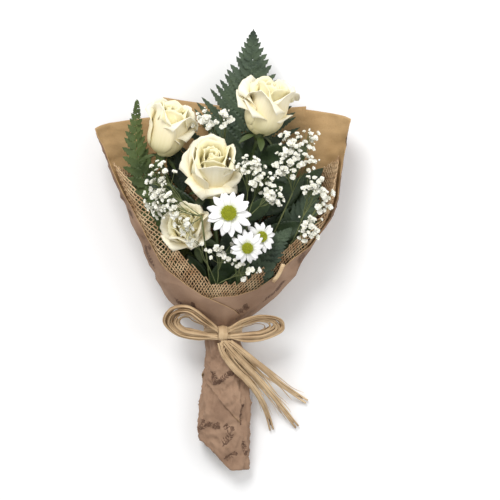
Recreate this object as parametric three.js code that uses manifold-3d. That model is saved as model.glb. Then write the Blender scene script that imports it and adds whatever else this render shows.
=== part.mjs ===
// Rose bouquet, cut and wrapped, lying on its back: four white roses, a spray of three
// daisies, baby's breath, leatherleaf fern and rose leaves, in two laps of printed kraft
// paper lined with open jute mesh, tied at the neck with a raffia bow.
// Millimetres. X runs across the bunch, Y towards the flower heads, Z up. The origin lies
// on the resting surface, under the middle of the whole bunch.

import * as THREE from 'three';
import { mergeVertices } from 'three/addons/utils/BufferGeometryUtils.js';
import Module from 'manifold-3d';

const wasm = await Module();
wasm.setup();

// ---------- driving dimensions ----------

const BUNCH_HALF_LENGTH = 224;    // fern tip to the end of the paper handle is twice this
const PAPER = 0.8;                // kraft paper with its stiffening creases
const JUTE = 1.2;                 // open jute weave
const LAP_GAP = 1.2;              // air between neighbouring layers of the wrapper
const CLEARANCE = 0.4;            // gap kept between touching pieces
const TIE_Y = -83;                // middle of the raffia band
const BAND_WIDTH = 12;
const BAND_THICKNESS = 1.4;
const STEM_END_Y = -184;          // cut ends of the stems, inside the handle
const ROSE_LENGTH = 50;           // calyx to rim
const ROSE_HEART_RADIUS = 15;
const PETAL = 1.0;
const PETAL_STEP = 1.9;           // radial distance from one petal to the next one out
const PETALS_PER_ROSE = 4;
const ROSE_STEM_RADIUS = 2.3;
const DAISY_RAYS = 13;
const RAFFIA_RADIUS = 2.2;        // one bundle of raffia strands

// Cross-sections of the wrapper from the handle's end to the top: its middle line, half
// width, half depth, height of its back above the surface and how far its back is flattened.
const WRAPPER_SECTIONS = [
  { y: -224, mid: 1, wide: 27, deep: 15, lift: 0, flat: 3 },
  { y: -190, mid: 1, wide: 28, deep: 16.5, lift: 0, flat: 3 },
  { y: -168, mid: 1, wide: 29, deep: 18, lift: 0, flat: 3 },
  { y: -144, mid: 3, wide: 27.5, deep: 18, lift: 0, flat: 3 },
  { y: -110, mid: 5, wide: 22, deep: 17.5, lift: 0.8, flat: 2 },
  { y: -91, mid: 0, wide: 18.5, deep: 16.5, lift: 2.4, flat: 0 },
  { y: -75, mid: 0, wide: 18.5, deep: 16.5, lift: 2.4, flat: 0 },
  { y: -61, mid: -2.5, wide: 41, deep: 28, lift: 0.8, flat: 2 },
  { y: -45, mid: -1, wide: 58, deep: 37, lift: 0, flat: 3 },
  { y: -24, mid: 4, wide: 72, deep: 45, lift: 0, flat: 3 },
  { y: -11, mid: 3.5, wide: 78, deep: 48, lift: 0, flat: 3 },
  { y: 11, mid: 7, wide: 90, deep: 53, lift: 0, flat: 3 },
  { y: 30, mid: 9, wide: 101, deep: 55.5, lift: 0, flat: 3 },
  { y: 48, mid: 9, wide: 108.5, deep: 57, lift: 0, flat: 3 },
  { y: 81, mid: 4, wide: 117, deep: 58, lift: 0, flat: 3 },
  { y: 131, mid: 0, wide: 131, deep: 59, lift: 0, flat: 3 },
  { y: 160, mid: 0, wide: 135, deep: 59, lift: 0, flat: 3 },
];

// Rows of the paper: some down the handle, the ones at the neck, and some up the mouth.
const HANDLE_TOP_ROW = -100;
const HANDLE_END_ROWS = 5;
const NECK_ROWS = [-91, -75, -68, -61, -53, -45];
const MOUTH_ROWS = 6;
const COLUMN_STEP = 17;           // widest angle between two columns of a layer, in degrees

// Edges of each layer: angle round the bunch from its back, in degrees and positive to the
// right, and the height of the edge there.
const LEFT_SHEET_EDGE = [
  [-215, -45], [-159, -44], [-125, -19], [-117, 6], [-112, 26], [-98, 111],
  [-91, 122], [-32, 138], [0, 144], [40, 148],
];
const LEFT_SHEET_FOOT = [
  [-215, -174], [-132, -134], [-90, -124], [-30, -150], [40, -190],
];
const RIGHT_SHEET_EDGE = [
  [-28, 158], [0, 149], [36, 146], [88, 132], [94, 90], [97, 58], [99, 34], [101, 11],
  [123, -11], [145, -32], [165, -36], [205, -43],
];
const JUTE_EDGE = [
  [-165, -32], [-151, -17], [-121, 16], [-108, 71], [-98, 88], [-88, 90], [0, 60],
  [86, 98], [99, 66], [108, 24], [127, 2], [147, -20], [165, -30],
];
const HANDLE_WRAP = 108;          // how much further the right sheet goes round the handle
const JUTE_FOOT_Y = -68;
const JUTE_ROWS = 8;

// ---------- geometry tools ----------

const radians = THREE.MathUtils.degToRad;
const lerp = THREE.MathUtils.lerp;
const vec = (x, y, z) => new THREE.Vector3(x, y, z);

// Value at x on a line through [x, value] points.
function alongPoints(points, x) {
  const last = points.length - 1;
  if (x <= points[0][0]) return points[0][1];
  if (x >= points[last][0]) return points[last][1];
  const i = points.findIndex((point) => point[0] >= x);
  const [x0, v0] = points[i - 1];
  const [x1, v1] = points[i];
  return lerp(v0, v1, (x - x0) / (x1 - x0));
}

function section(y, key) {
  return alongPoints(WRAPPER_SECTIONS.map((station) => [station.y, station[key]]), y);
}

// Shared vertices only, with no normals or texture coordinates.
function weld(geometry) {
  geometry.deleteAttribute('normal');
  geometry.deleteAttribute('uv');
  return mergeVertices(geometry, 1e-4);
}

function toSolid(geometry) {
  const welded = weld(geometry);
  return new wasm.Manifold(new wasm.Mesh({
    numProp: 3,
    vertProperties: new Float32Array(welded.attributes.position.array),
    triVerts: new Uint32Array(welded.index.array),
  }));
}

function fromSolid(solid) {
  const mesh = solid.getMesh();
  const geometry = new THREE.BufferGeometry();
  geometry.setAttribute('position', new THREE.BufferAttribute(mesh.vertProperties, 3));
  geometry.setIndex(new THREE.BufferAttribute(mesh.triVerts, 1));
  return geometry;
}

function join(geometries) {
  return fromSolid(geometries.map(toSolid).reduce((whole, piece) => whole.add(piece)));
}

function enclosedVolume(geometry) {
  const position = geometry.attributes.position;
  const index = geometry.index.array;
  const corners = [vec(), vec(), vec()];
  let volume = 0;
  for (let i = 0; i < index.length; i += 3) {
    corners.forEach((corner, k) => corner.fromBufferAttribute(position, index[i + k]));
    volume += corners[0].dot(corners[1].clone().cross(corners[2])) / 6;
  }
  return volume;
}

// A slab with a grid of faces, bent to place(u, v, depth), each from 0 to 1.
function bentSlab(columns, rows, place) {
  const slab = weld(new THREE.BoxGeometry(1, 1, 1, columns, rows, 1));
  const position = slab.attributes.position;
  for (let i = 0; i < position.count; i += 1) {
    const u = position.getX(i) + 0.5;
    const v = position.getY(i) + 0.5;
    const depth = position.getZ(i) + 0.5;
    position.setXYZ(i, ...place(u, v, depth).toArray());
  }
  if (enclosedVolume(slab) < 0) slab.index.array.reverse();
  return slab;
}

function tube(points, radius, { sides = 8, steps = 12, flatness = 1 } = {}) {
  const outline = [];
  for (let k = 0; k < sides; k += 1) {
    const turn = (k / sides) * 2 * Math.PI;
    outline.push(new THREE.Vector2(radius * Math.cos(turn), radius * flatness * Math.sin(turn)));
  }
  const path = points instanceof THREE.Curve ? points : new THREE.CatmullRomCurve3(points);
  return new THREE.ExtrudeGeometry(new THREE.Shape(outline), { steps, extrudePath: path });
}

function lathe(profile, segments = 12) {
  const turned = new THREE.LatheGeometry(profile.map(([r, h]) => new THREE.Vector2(r, h)), segments);
  return turned.rotateX(Math.PI / 2);
}

// Moves a geometry built along +Z so that it stands at a place and points along an axis.
function stand(geometry, place, axis) {
  const turn = new THREE.Quaternion().setFromUnitVectors(vec(0, 0, 1), axis.clone().normalize());
  return geometry.applyQuaternion(turn).translate(place.x, place.y, place.z);
}

const bouquet = new THREE.Group();

function addPiece(name, geometry, colour, roughness = 0.8, parent = bouquet) {
  const material = new THREE.MeshStandardMaterial({ color: colour, roughness, metalness: 0 });
  const piece = new THREE.Mesh(geometry, material);
  piece.name = name;
  parent.add(piece);
  return piece;
}

// ---------- wrapper: two laps of kraft paper and a jute lining ----------

// Point on the wrapper at an angle round the bunch and a height, inset from the outside.
function wrapperPoint(angle, y, inset) {
  const turn = radians(angle);
  const wide = section(y, 'wide') - inset;
  const deep = section(y, 'deep') - inset;
  const lift = section(y, 'lift');
  const height = lift + section(y, 'deep') - deep * Math.cos(turn) - section(y, 'flat');
  return vec(section(y, 'mid') + wide * Math.sin(turn), y, Math.max(lift + inset, height));
}

// The right sheet's foot is cut on a slant, and climbs towards the left side.
function rightSheetFoot(angle) {
  const x = section(-200, 'mid') + section(-200, 'wide') * Math.sin(radians(angle));
  const slope = 0.9;
  return -BUNCH_HALF_LENGTH + Math.max(0, 9 - x) * slope;
}

// Angles of a layer's columns: one at each corner of its upper edge and others between.
function columnAngles(edge) {
  const angles = [edge[0][0]];
  for (let i = 1; i < edge.length; i += 1) {
    const from = edge[i - 1][0];
    const span = edge[i][0] - from;
    const count = Math.ceil(span / COLUMN_STEP);
    for (let k = 1; k <= count; k += 1) angles.push(from + (span * k) / count);
  }
  return angles;
}

// How far a column has turned on down the handle, where its front corner closes the tube.
function handleTurn(angle, wrap, row) {
  const share = Math.max(0, (angle - 90) / (RIGHT_SHEET_EDGE.at(-1)[0] - 90));
  return wrap * share * Math.max(0, 1 - (row / HANDLE_END_ROWS) ** 3);
}

function kraftSheet(edge, foot, inset, wrap) {
  const rows = HANDLE_END_ROWS + NECK_ROWS.length + MOUTH_ROWS;
  const angles = columnAngles(edge);
  const columns = angles.length - 1;
  return bentSlab(columns, rows, (u, v, depth) => {
    const row = Math.round(v * rows);
    const column = angles[Math.round(u * columns)];
    const angle = column + handleTurn(column, wrap, row);
    const mouthRow = row - HANDLE_END_ROWS - NECK_ROWS.length;
    let y = NECK_ROWS[row - HANDLE_END_ROWS - 1];
    if (row <= HANDLE_END_ROWS) y = lerp(foot(angle), HANDLE_TOP_ROW, row / HANDLE_END_ROWS);
    if (mouthRow > 0) {
      const top = Math.max(alongPoints(edge, column), NECK_ROWS[NECK_ROWS.length - 1] + 1);
      y = lerp(NECK_ROWS[NECK_ROWS.length - 1], top, mouthRow / MOUTH_ROWS);
    }
    return wrapperPoint(angle, y, inset + (1 - depth) * PAPER);
  });
}

function juteMesh(inset) {
  const angles = columnAngles(JUTE_EDGE);
  const columns = angles.length - 1;
  return bentSlab(columns, JUTE_ROWS, (u, v, depth) => {
    const angle = angles[Math.round(u * columns)];
    const y = lerp(JUTE_FOOT_Y, alongPoints(JUTE_EDGE, angle), v);
    return wrapperPoint(angle, y, inset + (1 - depth) * JUTE);
  });
}

const RIGHT_SHEET_INSET = PAPER + LAP_GAP;
const JUTE_INSET = RIGHT_SHEET_INSET + PAPER + LAP_GAP + 3;

const leftSheetFoot = (angle) => alongPoints(LEFT_SHEET_FOOT, angle);

addPiece('kraft_sheet_left', kraftSheet(LEFT_SHEET_EDGE, leftSheetFoot, 0, 0), 0xba9c74);
addPiece('kraft_sheet_right', kraftSheet(RIGHT_SHEET_EDGE, rightSheetFoot, RIGHT_SHEET_INSET, HANDLE_WRAP), 0xb8966a);
addPiece('jute_mesh', juteMesh(JUTE_INSET), 0xb9a587);

// ---------- the tie: stem tie inside, raffia band, knot, loops and tails outside ----------

const NECK_HALF_WIDTH = section(TIE_Y, 'wide');
const NECK_HALF_DEPTH = section(TIE_Y, 'deep');
const NECK_Z = section(TIE_Y, 'lift') + NECK_HALF_DEPTH;
const NECK_FRONT_Z = NECK_Z + NECK_HALF_DEPTH;

// An oval ring round the neck, seen along Y.
function neckRing(halfWide, halfDeep, thickness, width, middleY) {
  const ring = new THREE.Shape();
  ring.absellipse(0, 0, halfWide + thickness, halfDeep + thickness, 0, 2 * Math.PI);
  const hole = new THREE.Path();
  hole.absellipse(0, 0, halfWide, halfDeep, 0, 2 * Math.PI, true);
  ring.holes.push(hole);
  const band = new THREE.ExtrudeGeometry(ring, { depth: width, bevelEnabled: false, curveSegments: 12 });
  return band.rotateX(Math.PI / 2).translate(0, middleY + width / 2, NECK_Z);
}

const STEM_TIE = { halfWide: 13, halfDeep: 11, thickness: 1.4, width: 3 };
addPiece('stem_tie', weld(neckRing(
  STEM_TIE.halfWide, STEM_TIE.halfDeep, STEM_TIE.thickness, STEM_TIE.width, TIE_Y - 6,
)), 0x8a7350);
addPiece('raffia_band', weld(neckRing(
  NECK_HALF_WIDTH + CLEARANCE, NECK_HALF_DEPTH + CLEARANCE, BAND_THICKNESS, BAND_WIDTH, TIE_Y,
)), 0xb39773);

const KNOT_Z = NECK_FRONT_Z + CLEARANCE + BAND_THICKNESS + CLEARANCE;
const KNOT_HALF = { x: 5.5, y: 7.5, z: 4.5 };
const knot = new THREE.SphereGeometry(1, 12, 8);
knot.scale(KNOT_HALF.x, KNOT_HALF.y, KNOT_HALF.z).translate(0, TIE_Y, KNOT_Z + KNOT_HALF.z);
addPiece('raffia_knot', weld(knot), 0xb39773);

const LOOP_Z = KNOT_Z + KNOT_HALF.z;
const LEFT_LOOP = [
  vec(-7, -80, LOOP_Z + 1), vec(-18, -68, LOOP_Z + 10), vec(-34, -57, LOOP_Z + 16),
  vec(-50, -59, LOOP_Z + 12), vec(-55, -71, LOOP_Z + 4), vec(-44, -82, LOOP_Z - 2),
  vec(-24, -87, LOOP_Z - 3), vec(-7, -86, LOOP_Z - 1),
];
const RIGHT_LOOP = [
  vec(7, -80, LOOP_Z + 1), vec(20, -71, LOOP_Z + 7), vec(38, -66, LOOP_Z + 8),
  vec(54, -69, LOOP_Z + 4), vec(57, -78, LOOP_Z - 1), vec(42, -86, LOOP_Z - 4),
  vec(24, -88, LOOP_Z - 2), vec(7, -86, LOOP_Z - 1),
];
const LOOP_SHAPE = { sides: 6, steps: 18, flatness: 0.8 };
addPiece('raffia_loop_left', weld(tube(LEFT_LOOP, 3, LOOP_SHAPE)), 0xb39773);
addPiece('raffia_loop_right', weld(tube(RIGHT_LOOP, 3, LOOP_SHAPE)), 0xb39773);

// Each tail leaves the foot of the knot, arches over the handle and comes down to the surface.
const TAILS = [
  [vec(7.6, -91.5, 42), vec(16, -98, 42), vec(28, -108, 38), vec(43, -121, 30),
    vec(57, -134, 20), vec(70, -144, 10), vec(86, -155, 2.6)],
  [vec(2.3, -92.5, 42), vec(10, -102, 42), vec(22, -115, 38), vec(37, -131, 29),
    vec(51, -148, 18), vec(63, -164, 9), vec(76, -181, 2.6)],
  [vec(-2.9, -92.5, 42), vec(1, -104, 42), vec(12, -119, 40), vec(27, -134, 33),
    vec(38, -151, 22), vec(45, -167, 10), vec(50, -184, 2.6)],
];
TAILS.forEach((route, i) => {
  addPiece(`raffia_tail_${i + 1}`, weld(tube(route, RAFFIA_RADIUS, { sides: 8, steps: 12 })), 0x9d8969);
});

// ---------- where each stem passes the neck ----------

const BUNDLE_CENTRE = vec(0, TIE_Y, NECK_Z);

// Slots on two oval rings round the bundle's middle, by angle from +X towards +Z.
function neckSlot(ring, angle) {
  const reach = [vec(0, 0, 0), vec(5.8, 0, 5.2), vec(10.6, 0, 8.8)][ring];
  const turn = radians(angle);
  return vec(reach.x * Math.cos(turn), 0, reach.z * Math.sin(turn));
}

// Route of a stem from its cut end through the neck to what it carries.
function stemRoute(slot, ...upper) {
  const neck = BUNDLE_CENTRE.clone().add(slot).setY(TIE_Y + 7);
  const below = neck.clone().setY(TIE_Y - 14);
  const cut = vec(2 + slot.x * 1.5, STEM_END_Y + 3 * Math.sin(slot.x), BUNDLE_CENTRE.z - 2.5 + slot.z * 0.9);
  return [cut, below, neck, ...upper];
}

// ---------- roses ----------

const ROSES = [
  { name: 'rose_upper_left', base: vec(-61, 98, 50), axis: vec(0.26, 0.9, 0.32), slot: [1, 198], elbow: vec(-44, 44, 28) },
  { name: 'rose_upper_right', base: vec(37, 119, 52), axis: vec(0.28, 0.88, 0.36), slot: [1, 342], elbow: vec(27, 76, 36) },
  { name: 'rose_centre', base: vec(-12, 75, 62), axis: vec(0.06, 0.5, 0.86), slot: [1, 54], elbow: vec(-10, 42, 44) },
  { name: 'rose_lower_left', base: vec(-34, 6, 42), axis: vec(-0.26, 0.5, 0.83), slot: [1, 126], elbow: vec(-26, -20, 34) },
];

// Distance of the innermost petal from the rose's axis, from its base to its rim.
const PETAL_PROFILE = [[0, 5], [0.18, 11.5], [0.4, 15.5], [0.65, 17], [0.85, 17.5], [1, 20.5]];

function rosePetal(layer) {
  const spread = 62;
  return bentSlab(5, 5, (u, v, depth) => {
    const across = (u - 0.5) * 2;
    const rimDrop = 0.12 * across * across;
    const height = v * (1 - rimDrop);
    const turn = radians(across * spread * (0.55 + 0.45 * Math.sin(Math.PI * Math.min(1, 0.15 + v))));
    const radius = alongPoints(PETAL_PROFILE, height) + layer * PETAL_STEP + depth * PETAL;
    return vec(radius * Math.cos(turn), radius * Math.sin(turn), 1 + height * (ROSE_LENGTH - 1 - layer * 1.5));
  });
}

const HEART_PROFILE = [[0, 1.5], [3, 1.5], [8, 8], [13, 20], [ROSE_HEART_RADIUS, 32], [12, 43], [5, 47], [0, 47]];
const CALYX_PROFILE = [[0, -9], [2.6, -9], [5.6, -6], [6.6, -2], [7, -CLEARANCE], [0, -CLEARANCE]];

const roseStemRoutes = {};

ROSES.forEach(({ name, base, axis, slot, elbow }) => {
  const head = new THREE.Group();
  head.position.copy(base);
  head.quaternion.setFromUnitVectors(vec(0, 0, 1), axis.clone().normalize());
  bouquet.add(head);

  addPiece(`${name}_heart`, weld(lathe(HEART_PROFILE)), 0xebdfc0, 0.6, head);
  for (let layer = 0; layer < PETALS_PER_ROSE; layer += 1) {
    const petal = addPiece(`${name}_petal_${layer + 1}`, rosePetal(layer), 0xefe6cc, 0.6, head);
    petal.rotation.z = radians(50 + layer * 137.5);
  }

  const direction = axis.clone().normalize();
  const foot = base.clone().addScaledVector(direction, -8.5);
  const route = stemRoute(neckSlot(...slot), elbow, foot);
  roseStemRoutes[name] = new THREE.CatmullRomCurve3(route);
  const stem = tube(roseStemRoutes[name], ROSE_STEM_RADIUS, { sides: 6, steps: 14 });
  addPiece(`${name}_stem`, join([stem, stand(lathe(CALYX_PROFILE, 8), base, axis)]), 0x4f6a35);
});

// ---------- rose leaves, each on its own stalk beside a rose stem ----------

const LEAVES = [
  { name: 'rose_leaf_upper', rose: 'rose_upper_right', at: 0.8, tip: vec(74, 100, 62), width: 26 },
  { name: 'rose_leaf_middle', rose: 'rose_upper_right', at: 0.72, tip: vec(62, 66, 72), width: 24 },
  { name: 'rose_leaf_centre', rose: 'rose_centre', at: 0.82, tip: vec(42, 88, 70), width: 22 },
];

LEAVES.forEach(({ name, rose, at, tip, width }) => {
  const foot = roseStemRoutes[rose].getPointAt(at);
  const along = tip.clone().sub(foot).normalize();
  const start = foot.clone().addScaledVector(along, ROSE_STEM_RADIUS + 3);
  const bladeStart = start.clone().lerp(tip, 0.25);
  const bladeLength = tip.distanceTo(bladeStart);
  const side = along.clone().cross(vec(0, 0, 1)).normalize();
  const up = side.clone().cross(along).normalize();
  const blade = bentSlab(4, 6, (u, v, depth) => {
    const across = (u - 0.5) * width * (0.12 + 0.88 * Math.sin(Math.PI * Math.pow(v, 0.8)));
    const rise = Math.abs(across) * 0.25 - 6 * v * v + depth;
    return bladeStart.clone().addScaledVector(along, v * bladeLength)
      .addScaledVector(side, across).addScaledVector(up, rise);
  });
  const stalkEnd = bladeStart.clone().addScaledVector(along, 3).addScaledVector(up, 0.5);
  const stalk = tube(new THREE.LineCurve3(start, stalkEnd), 0.9, { sides: 6, steps: 1 });
  addPiece(name, join([blade, stalk]), 0x35462a, 0.45);
});

// ---------- daisies: three heads on one spray ----------

const DAISIES = [
  { name: 'daisy_upper', centre: vec(7, 37, 112), axis: vec(-0.1, 0.05, 1), rays: 24, disc: 7.5 },
  { name: 'daisy_lower', centre: vec(25, 3, 104), axis: vec(0.05, -0.25, 1), rays: 18, disc: 5.5 },
  { name: 'daisy_side', centre: vec(46, 20, 92), axis: vec(0.55, 0.1, 0.8), rays: 17, disc: 5 },
];
const RAY_THICKNESS = 1.2;

function daisyRays(reach, hub) {
  const outline = [];
  for (let ray = 0; ray < DAISY_RAYS; ray += 1) {
    [[0, hub], [0.2, reach * 0.85], [0.42, reach], [0.58, reach], [0.8, reach * 0.85]]
      .forEach(([part, radius]) => {
        const turn = ((ray + part) / DAISY_RAYS) * 2 * Math.PI;
        outline.push(new THREE.Vector2(radius * Math.cos(turn), radius * Math.sin(turn)));
      });
  }
  return new THREE.ExtrudeGeometry(new THREE.Shape(outline), { depth: RAY_THICKNESS, bevelEnabled: false });
}

function daisyDisc(radius) {
  const foot = RAY_THICKNESS + CLEARANCE;
  return lathe([[0, foot], [radius, foot], [radius * 0.92, foot + 2], [radius * 0.5, foot + 3.6], [0, foot + 4]], 10);
}

const DAISY_CUP = [[0, -6], [1.4, -6], [4.4, -2.5], [5, -CLEARANCE], [0, -CLEARANCE]];
const DAISY_FORK = vec(15, -32, 62);
const daisyStems = [tube(stemRoute(neckSlot(2, 90), DAISY_FORK), 1.9, { sides: 6, steps: 12 })];

DAISIES.forEach(({ name, centre, axis, rays, disc }) => {
  const head = new THREE.Group();
  head.position.copy(centre);
  head.quaternion.setFromUnitVectors(vec(0, 0, 1), axis.clone().normalize());
  bouquet.add(head);
  addPiece(`${name}_rays`, weld(daisyRays(rays, disc * 0.9)), 0xf2efe6, 0.6, head);
  addPiece(`${name}_disc`, weld(daisyDisc(disc)), 0x8a8a20, 0.8, head);

  const direction = axis.clone().normalize();
  const neck = centre.clone().addScaledVector(direction, -5);
  const below = centre.clone().addScaledVector(direction, -20).lerp(DAISY_FORK, 0.25);
  daisyStems.push(tube([DAISY_FORK.clone(), below, neck], 1.1, { sides: 6, steps: 6 }));
  daisyStems.push(stand(lathe(DAISY_CUP, 8), centre, axis));
});
const fork = new THREE.IcosahedronGeometry(2.2, 0).translate(...DAISY_FORK.toArray());
addPiece('daisy_spray_stem', join([...daisyStems, fork]), 0x56703a);

// ---------- baby's breath: six branching sprays ----------

const SPRAYS = [
  { name: 'babys_breath_left', slot: [2, 140], hub: vec(-20, 34, 97), centre: vec(-60, 56, 104), wide: 22, long: 30, buds: 11 },
  { name: 'babys_breath_top', slot: [2, 280], hub: vec(2, 92, 38), centre: vec(-11, 136, 62), wide: 15, long: 8, buds: 6 },
  { name: 'babys_breath_upper_right', slot: [2, 335], hub: vec(70, 58, 62), centre: vec(78, 108, 78), wide: 24, long: 20, buds: 10 },
  { name: 'babys_breath_middle', slot: [2, 45], hub: vec(26, 34, 86), centre: vec(34, 66, 104), wide: 15, long: 20, buds: 9 },
  { name: 'babys_breath_right', slot: [2, 0], hub: vec(70, 10, 66), centre: vec(92, 44, 80), wide: 14, long: 24, buds: 9 },
  { name: 'babys_breath_lower', slot: [2, 115], hub: vec(-6, -34, 62), centre: vec(-10, -6, 92), wide: 14, long: 10, buds: 6 },
];
const BUD_RADIUS = 3.6;
const GOLDEN_ANGLE = 137.5;

SPRAYS.forEach(({ name, slot, hub, centre, wide, long, buds }) => {
  const pieces = [tube(stemRoute(neckSlot(...slot), hub), 1.0, { sides: 4, steps: 10 })];
  for (let bud = 0; bud < buds; bud += 1) {
    const reach = Math.sqrt((bud + 0.5) / buds);
    const turn = radians(bud * GOLDEN_ANGLE);
    const lift = 5 * Math.sin(bud * 2.4);
    const place = centre.clone().add(vec(wide * reach * Math.cos(turn), long * reach * Math.sin(turn), lift));
    pieces.push(tube(new THREE.LineCurve3(hub.clone(), place), 0.5, { sides: 3, steps: 1 }));
    pieces.push(new THREE.OctahedronGeometry(BUD_RADIUS, 0).translate(...place.toArray()));
  }
  pieces.push(new THREE.OctahedronGeometry(2.2, 0).translate(...hub.toArray()));
  addPiece(name, join(pieces), 0xe9e6da, 0.7);
});

// ---------- leatherleaf fern: a stalk with a saw-edged blade ----------

const FRONDS = [
  {
    name: 'fern_frond_top', slot: [2, 250], pairs: 11, halfWidth: 56, bladeFrom: 0.62,
    upper: [vec(4, 0, 17), vec(16, 90, 22), vec(26, 150, 30), vec(31, BUNCH_HALF_LENGTH, 40)],
    side: vec(1, -0.05, 0.05),
  },
  {
    name: 'fern_frond_left', slot: [2, 180], pairs: 8, halfWidth: 22, bladeFrom: 0.7,
    upper: [vec(-37, -14, 18), vec(-67, 44, 30), vec(-87, 98, 42), vec(-86, 152, 50)],
    side: vec(0.9, 0.05, -0.35),
  },
  {
    name: 'fern_frond_right', slot: [2, 310], pairs: 8, halfWidth: 22, bladeFrom: 0.6,
    upper: [vec(30, -34, 26), vec(58, 6, 40), vec(80, 36, 52), vec(98, 70, 58)],
    side: vec(0.7, -0.6, 0.1),
  },
  {
    name: 'fern_frond_lower', slot: [2, 22], pairs: 7, halfWidth: 16, bladeFrom: 0.58,
    upper: [vec(20, -44, 42), vec(34, -20, 62), vec(48, 2, 73), vec(68, 22, 77)],
    side: vec(0.6, -0.75, 0.1),
  },
];
const FROND_THICKNESS = 1.0;

function frondBlade(curve, { pairs, halfWidth, bladeFrom, side }) {
  const outline = [];
  const sideEdge = (sign) => {
    const points = [];
    for (let pair = 0; pair < pairs; pair += 1) {
      const s = pair / pairs;
      const width = halfWidth * (1 - s) * (0.72 + 0.28 * Math.min(1, s * 6));
      points.push(new THREE.Vector2(sign * 2.2 * (1 - s) + sign * 0.4, s));
      points.push(new THREE.Vector2(sign * width, Math.min(0.98, s + 0.9 / pairs + 0.02)));
      points.push(new THREE.Vector2(sign * width * 0.9, Math.min(0.985, s + 1.25 / pairs + 0.02)));
    }
    return points;
  };
  outline.push(...sideEdge(1), new THREE.Vector2(0, 1), ...sideEdge(-1).reverse());
  const shape = new THREE.Shape(outline);
  const blade = weld(new THREE.ExtrudeGeometry(shape, { depth: FROND_THICKNESS, bevelEnabled: false }));
  const position = blade.attributes.position;
  const across = side.clone().normalize();
  for (let i = 0; i < position.count; i += 1) {
    const at = lerp(bladeFrom, 1, position.getY(i));
    const point = curve.getPointAt(at);
    const normal = across.clone().cross(curve.getTangentAt(at)).normalize();
    point.addScaledVector(across, position.getX(i)).addScaledVector(normal, position.getZ(i) - FROND_THICKNESS / 2);
    position.setXYZ(i, point.x, point.y, point.z);
  }
  if (enclosedVolume(blade) < 0) blade.index.array.reverse();
  return blade;
}

FRONDS.forEach((frond) => {
  const curve = new THREE.CatmullRomCurve3(stemRoute(neckSlot(...frond.slot), ...frond.upper));
  const stalk = tube(curve, 1.2, { sides: 4, steps: 16 });
  addPiece(frond.name, join([stalk, frondBlade(curve, frond)]), 0x3f5233);
});

export default bouquet;
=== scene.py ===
"""A bunch of white roses, daisies, baby's breath and fern, wrapped in printed kraft paper
with a jute mesh lining, tied with a raffia bow and lying on its back. Shapes are worked out
in millimetres and scaled to metres when each piece is finished."""
import math
import random

import bmesh
import bpy
from mathutils import Matrix, Vector, noise


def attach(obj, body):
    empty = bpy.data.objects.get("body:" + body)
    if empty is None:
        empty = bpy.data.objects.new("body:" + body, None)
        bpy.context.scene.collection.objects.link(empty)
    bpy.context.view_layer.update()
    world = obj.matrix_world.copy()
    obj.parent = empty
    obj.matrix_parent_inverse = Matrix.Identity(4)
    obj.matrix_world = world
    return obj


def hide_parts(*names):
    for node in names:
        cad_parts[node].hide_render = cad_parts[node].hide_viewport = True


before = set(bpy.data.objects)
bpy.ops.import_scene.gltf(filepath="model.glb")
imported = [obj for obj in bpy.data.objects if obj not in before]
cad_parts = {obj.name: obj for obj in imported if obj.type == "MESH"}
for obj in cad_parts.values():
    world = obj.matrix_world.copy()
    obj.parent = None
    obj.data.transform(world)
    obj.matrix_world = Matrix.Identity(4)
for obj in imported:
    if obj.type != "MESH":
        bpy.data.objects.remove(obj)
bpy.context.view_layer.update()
MM = 0.001

# ------------------------------------------------------------- studio and camera
# The bunch lies on a pale table under one large soft light from its flower end and a
# weaker one from the right. The camera looks straight down on it.

table_bm = bmesh.new()
bmesh.ops.create_grid(table_bm, x_segments=1, y_segments=1, size=4.0)
bmesh.ops.translate(table_bm, vec=(0, 0, -0.0004), verts=table_bm.verts)
table_mesh = bpy.data.meshes.new("table")
table_bm.to_mesh(table_mesh)
table_bm.free()
table = bpy.data.objects.new("table", table_mesh)
bpy.context.collection.objects.link(table)
table_paint = bpy.data.materials.new("table_paint")
table_paint.use_nodes = True
table_paint.node_tree.nodes["Principled BSDF"].inputs["Base Color"].default_value = (0.9, 0.9, 0.9, 1)
table_paint.node_tree.nodes["Principled BSDF"].inputs["Roughness"].default_value = 0.9
table_mesh.materials.append(table_paint)


def soft_light(name, place, size, power):
    """An area light at a place, aimed at the middle of the bunch."""
    lamp = bpy.data.lights.new(name, "AREA")
    lamp.shape = "SQUARE"
    lamp.size = size
    lamp.energy = power
    holder = bpy.data.objects.new(name, lamp)
    holder.location = place
    aim = Vector((0, 0, 0.05)) - Vector(place)
    holder.rotation_euler = aim.to_track_quat("-Z", "Y").to_euler()
    bpy.context.collection.objects.link(holder)


soft_light("softbox_top", (-0.5, 1.3, 1.7), 0.9, 30)
soft_light("softbox_right", (1.5, 0.2, 1.4), 1.2, 9)
room = bpy.data.worlds.new("room")
room.use_nodes = True
room.node_tree.nodes["Background"].inputs["Color"].default_value = (1.0, 1.0, 1.0, 1)
room.node_tree.nodes["Background"].inputs["Strength"].default_value = 0.7
bpy.context.scene.world = room
bpy.context.scene.view_settings.view_transform = "Standard"

CAMERA_HEIGHT = 2.06
FOCUS_HEIGHT = 0.06
VIEW_WIDTH = 0.5
camera_data = bpy.data.cameras.new("camera")
camera_data.sensor_width = 36
camera_data.lens = 36 * (CAMERA_HEIGHT - FOCUS_HEIGHT) / VIEW_WIDTH
camera = bpy.data.objects.new("camera", camera_data)
camera.location = (0.0275, 0.001, CAMERA_HEIGHT)
bpy.context.collection.objects.link(camera)
bpy.context.scene.camera = camera

# ------------------------------------------------------------- kraft paper wrapper
# Two laps of light brown kraft paper, plain inside and printed with small brown sprigs
# outside, rolled into a cone that the tie gathers into pleats. Below the tie the paper
# goes on as a crumpled handle, and the left lap closes over the right one in front.

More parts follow.
